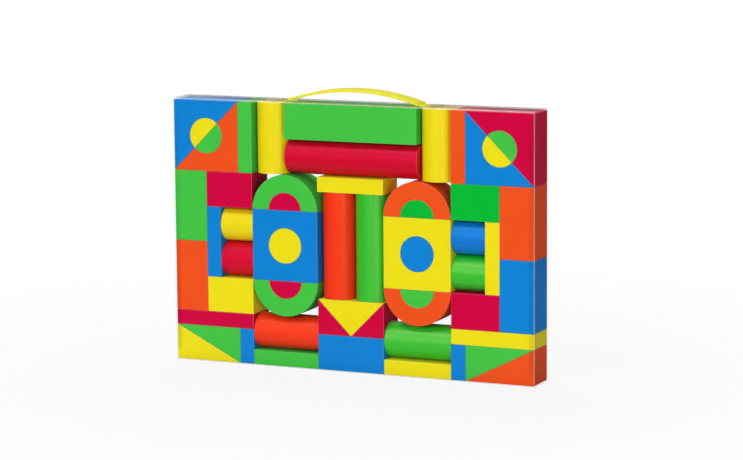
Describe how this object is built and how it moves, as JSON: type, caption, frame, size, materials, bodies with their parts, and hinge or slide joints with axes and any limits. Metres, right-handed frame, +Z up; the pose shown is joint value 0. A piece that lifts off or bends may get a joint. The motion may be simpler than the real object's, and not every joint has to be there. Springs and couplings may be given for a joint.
{
  "type": "foam building block set",
  "caption": "Wall of EVA foam building blocks, slabs, arches, discs and rollers packed one deep in a clear folded carry case with hinged end flaps and a strap handle.",
  "frame": {"origin": "middle of the case's underside", "axes": "+X along the case's width to the viewer's right, +Y from the front panel to the back, +Z up"},
  "size_m": [0.382, 0.037, 0.2756],
  "materials": {
    "foam_blue": "matte closed-cell EVA foam, cut edges",
    "foam_green": "matte closed-cell EVA foam, cut edges",
    "foam_deep_green": "matte closed-cell EVA foam, cut edges",
    "foam_orange": "matte closed-cell EVA foam, cut edges",
    "foam_yellow": "matte closed-cell EVA foam, cut edges",
    "foam_red": "matte closed-cell EVA foam, cut edges",
    "clear_sheet": "clear glossy folded PVC sheet",
    "strap_yellow": "semi-gloss flexible plastic strap"
  },
  "bodies": {
    "case": {"sleeve_front": "clear_sheet", "sleeve_top": "clear_sheet", "sleeve_back": "clear_sheet", "sleeve_bottom": "clear_sheet", "blue_corner_triangle_left": "foam_blue", "orange_corner_triangle": "foam_orange", "red_corner_triangle": "foam_red", "blue_corner_triangle_right": "foam_blue", "yellow_corner_half_discs": "foam_yellow", "green_corner_half_discs": "foam_green", "green_top_slab": "foam_green", "orange_top_slab": "foam_orange", "yellow_posts": "foam_yellow", "green_long_bar": "foam_green", "red_long_roller": "foam_red", "green_tall_block": "foam_green", "orange_tall_block_left": "foam_orange", "red_brick_left": "foam_red", "blue_upright_slab": "foam_blue", "yellow_short_roller": "foam_yellow", "red_short_roller": "foam_red", "yellow_brick": "foam_yellow", "red_shelf_slab": "foam_red", "yellow_ramp": "foam_yellow", "green_ramp_left": "foam_green", "blue_spacer_slabs": "foam_blue", "green_base_slab": "foam_green", "orange_roller": "foam_orange", "green_lower_arch": "foam_green", "red_half_discs": "foam_red", "blue_ring_block": "foam_blue", "yellow_disc": "foam_yellow", "green_upper_arch": "foam_green", "blue_centre_brick": "foam_blue", "yellow_centre_triangle": "foam_yellow", "red_centre_triangles": "foam_red", "orange_column": "foam_orange", "green_column": "foam_green", "yellow_lintel": "foam_yellow", "yellow_base_slab": "foam_yellow", "green_roller": "foam_green", "orange_lower_arch": "foam_orange", "green_half_disc": "foam_green", "yellow_ring_block": "foam_yellow", "blue_disc": "foam_blue", "orange_upper_arch": "foam_orange", "deep_green_half_disc": "foam_deep_green", "green_ramp_right": "foam_green", "orange_ramp": "foam_orange", "yellow_shelf_slab": "foam_yellow", "red_brick_right": "foam_red", "blue_short_roller": "foam_blue", "green_short_roller": "foam_green", "yellow_upright_slab": "foam_yellow", "green_brick": "foam_deep_green", "blue_tall_block": "foam_blue", "orange_tall_block_right": "foam_orange"},
    "left_flap": {"left_end_flap": "clear_sheet"},
    "right_flap": {"right_end_flap": "clear_sheet"},
    "handle": {"handle_strap": "strap_yellow"}
  },
  "joints": [
    {"name": "left_flap_hinge", "type": "hinge", "parent": "case", "child": "left_flap", "pos_m": [-0.191, 0.0175, 0.131], "axis": [0, 0, -1], "range_deg": [0, 170]},
    {"name": "right_flap_hinge", "type": "hinge", "parent": "case", "child": "right_flap", "pos_m": [0.191, 0.0175, 0.131], "axis": [0, 0, 1], "range_deg": [0, 170]},
    {"name": "handle_lift", "type": "slide", "parent": "case", "child": "handle", "axis": [0, 0, 1], "range_m": [-0.008, 0.02], "stiffness_N_per_m": 120, "deforming": ["handle_strap"]}
  ]
}
